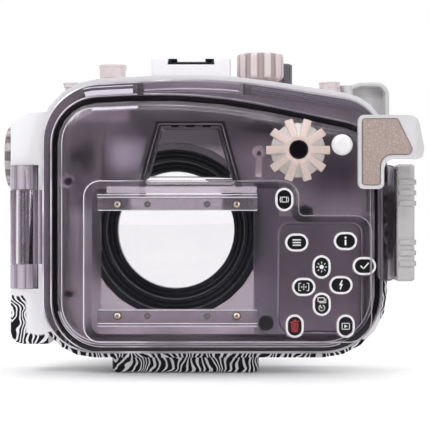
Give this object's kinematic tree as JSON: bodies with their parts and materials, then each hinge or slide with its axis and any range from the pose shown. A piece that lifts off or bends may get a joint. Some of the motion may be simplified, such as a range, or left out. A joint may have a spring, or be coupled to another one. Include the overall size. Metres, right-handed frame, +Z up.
{
  "type": "underwater camera housing",
  "caption": "Underwater camera housing: white front case with round lens port, smoke-clear hinged back lid, side latch, push buttons and ribbed control knobs.",
  "frame": {"origin": "middle of the foot's flat underside, on the surface the housing stands on", "axes": "+X to the right seen from the back, +Y from the back lid towards the lens port, +Z up; the hinges of lid and latch turn about Z"},
  "size_m": [0.1872, 0.1143, 0.1441],
  "materials": {
    "white_shell": "satin white moulded shell",
    "smoke_lid": "frosted smoke polycarbonate",
    "clear_plastic": "clear smoke acrylic",
    "rubber": "moulded black rubber",
    "grey_plastic": "matt light grey moulding",
    "thumb_pad": "grained warm beige grip skin",
    "beige_plastic": "satin beige moulding",
    "black_plastic": "satin black",
    "white_button": "gloss white with black centre",
    "steel": "plain stainless steel",
    "brass": "plain brass",
    "port_window": "polished optical glass"
  },
  "bodies": {
    "case": {"front_case": "white_shell", "hinge_bracket": "smoke_lid", "hinge_pin": "steel", "latch_base": "grey_plastic", "latch_pin": "steel", "port_barrel": "black_plastic", "port_seal": "rubber", "port_glass": "port_window", "port_retaining_ring": "black_plastic", "cold_shoe": "black_plastic", "accessory_plug": "black_plastic", "camera_tray": "white_shell", "tripod_bush": "brass"},
    "lid": {"rear_lid": "smoke_lid", "main_seal": "rubber", "thumb_rest_frame": "grey_plastic", "thumb_rest_pad": "thumb_pad", "screen_rail_upper": "clear_plastic", "screen_rail_lower": "clear_plastic", "bumper_upper_left": "rubber", "bumper_lower_left": "rubber", "bumper_low_middle": "rubber", "bumper_step": "rubber"},
    "latch_lever": {"latch_lever": "grey_plastic", "latch_claw_pin": "steel"},
    "latch_claw": {"latch_claw": "steel"},
    "latch_slide": {"latch_slide": "white_button"},
    "mode_knob": {"mode_knob": "beige_plastic", "mode_shaft": "black_plastic"},
    "zoom_knob": {"zoom_knob": "beige_plastic", "zoom_shaft": "black_plastic"},
    "shutter_lever": {"shutter_lever": "grey_plastic", "shutter_shaft": "steel"},
    "rear_dial": {"rear_dial_knob": "beige_plastic", "rear_dial_cap": "black_plastic", "rear_dial_shaft": "steel", "rear_dial_wheel": "rubber"},
    "button_dome": {"button_dome": "white_button"},
    "button_menu": {"button_menu": "white_button"},
    "button_info": {"button_info": "white_button"},
    "button_up": {"button_up": "white_button"},
    "button_ok": {"button_ok": "white_button"},
    "button_focus": {"button_focus": "white_button"},
    "button_flash": {"button_flash": "white_button"},
    "button_drive": {"button_drive": "white_button"},
    "button_delete": {"button_delete": "white_button"},
    "button_play": {"button_play": "white_button"},
    "button_display": {"button_display": "white_button"},
    "button_top_left": {"button_top_left": "beige_plastic"},
    "button_top_small": {"button_top_small": "beige_plastic"},
    "button_top_right": {"button_top_right": "beige_plastic"}
  },
  "joints": [
    {"name": "lid_hinge", "type": "hinge", "parent": "case", "child": "lid", "pos_m": [-0.0728, -0.0254, 0.06549], "axis": [0, 0, -1], "range_deg": [0, 115]},
    {"name": "latch_lever_hinge", "type": "hinge", "parent": "case", "child": "latch_lever", "pos_m": [0.0973, 0.0046, 0.06736], "axis": [0, 0, 1], "range_deg": [0, 80]},
    {"name": "latch_claw_hinge", "type": "hinge", "parent": "latch_lever", "child": "latch_claw", "pos_m": [0.09679, -0.0094, 0.06736], "axis": [0, 0, 1], "range_deg": [-7, 0.8]},
    {"name": "latch_slide_lock", "type": "slide", "parent": "latch_lever", "child": "latch_slide", "axis": [0, 0, 1], "range_m": [0, 0.005]},
    {"name": "mode_turn", "type": "hinge", "parent": "case", "child": "mode_knob", "pos_m": [0.03381, -0.0074, 0.1315], "axis": [0, 0, 1], "continuous": true},
    {"name": "zoom_turn", "type": "hinge", "parent": "case", "child": "zoom_knob", "pos_m": [-0.0744, 0.0046, 0.09755], "axis": [-1, 0, 0], "continuous": true},
    {"name": "shutter_press", "type": "hinge", "parent": "case", "child": "shutter_lever", "pos_m": [0.0733, -0.0034, 0.1315], "axis": [0, 0, -1], "range_deg": [0, 12], "stiffness_Nm_per_rad": 0.05, "springref_deg": -11.46},
    {"name": "rear_dial_turn", "type": "hinge", "parent": "lid", "child": "rear_dial", "pos_m": [0.0493, -0.0414, 0.099], "axis": [0, -1, 0], "continuous": true},
    {"name": "button_top_left_press", "type": "slide", "parent": "case", "child": "button_top_left", "axis": [0, 0, -1], "range_m": [0, 0.0015], "stiffness_N_per_m": 400, "springref_m": -0.002},
    {"name": "button_top_small_press", "type": "slide", "parent": "case", "child": "button_top_small", "axis": [0, 0, -1], "range_m": [0, 0.0015], "stiffness_N_per_m": 400, "springref_m": -0.002},
    {"name": "button_top_right_press", "type": "slide", "parent": "case", "child": "button_top_right", "axis": [0, 0, -1], "range_m": [0, 0.0015], "stiffness_N_per_m": 400, "springref_m": -0.002},
    {"name": "button_menu_press", "type": "slide", "parent": "lid", "child": "button_menu", "axis": [0, 1, 0], "range_m": [0, 0.0018], "stiffness_N_per_m": 400, "springref_m": -0.002},
    {"name": "button_info_press", "type": "slide", "parent": "lid", "child": "button_info", "axis": [0, 1, 0], "range_m": [0, 0.0018], "stiffness_N_per_m": 400, "springref_m": -0.002},
    {"name": "button_up_press", "type": "slide", "parent": "lid", "child": "button_up", "axis": [0, 1, 0], "range_m": [0, 0.0018], "stiffness_N_per_m": 400, "springref_m": -0.002},
    {"name": "button_ok_press", "type": "slide", "parent": "lid", "child": "button_ok", "axis": [0, 1, 0], "range_m": [0, 0.0018], "stiffness_N_per_m": 400, "springref_m": -0.002},
    {"name": "button_focus_press", "type": "slide", "parent": "lid", "child": "button_focus", "axis": [0, 1, 0], "range_m": [0, 0.0018], "stiffness_N_per_m": 400, "springref_m": -0.002},
    {"name": "button_flash_press", "type": "slide", "parent": "lid", "child": "button_flash", "axis": [0, 1, 0], "range_m": [0, 0.0018], "stiffness_N_per_m": 400, "springref_m": -0.002},
    {"name": "button_drive_press", "type": "slide", "parent": "lid", "child": "button_drive", "axis": [0, 1, 0], "range_m": [0, 0.0018], "stiffness_N_per_m": 400, "springref_m": -0.002},
    {"name": "button_delete_press", "type": "slide", "parent": "lid", "child": "button_delete", "axis": [0, 1, 0], "range_m": [0, 0.0018], "stiffness_N_per_m": 400, "springref_m": -0.002},
    {"name": "button_play_press", "type": "slide", "parent": "lid", "child": "button_play", "axis": [0, 1, 0], "range_m": [0, 0.0018], "stiffness_N_per_m": 400, "springref_m": -0.002},
    {"name": "button_display_press", "type": "slide", "parent": "lid", "child": "button_display", "axis": [0, 1, 0], "range_m": [0, 0.0018], "stiffness_N_per_m": 400, "springref_m": -0.002},
    {"name": "button_dome_press", "type": "slide", "parent": "lid", "child": "button_dome", "axis": [0, 1, 0], "range_m": [0, 0.0018], "stiffness_N_per_m": 400, "springref_m": -0.002}
  ]
}
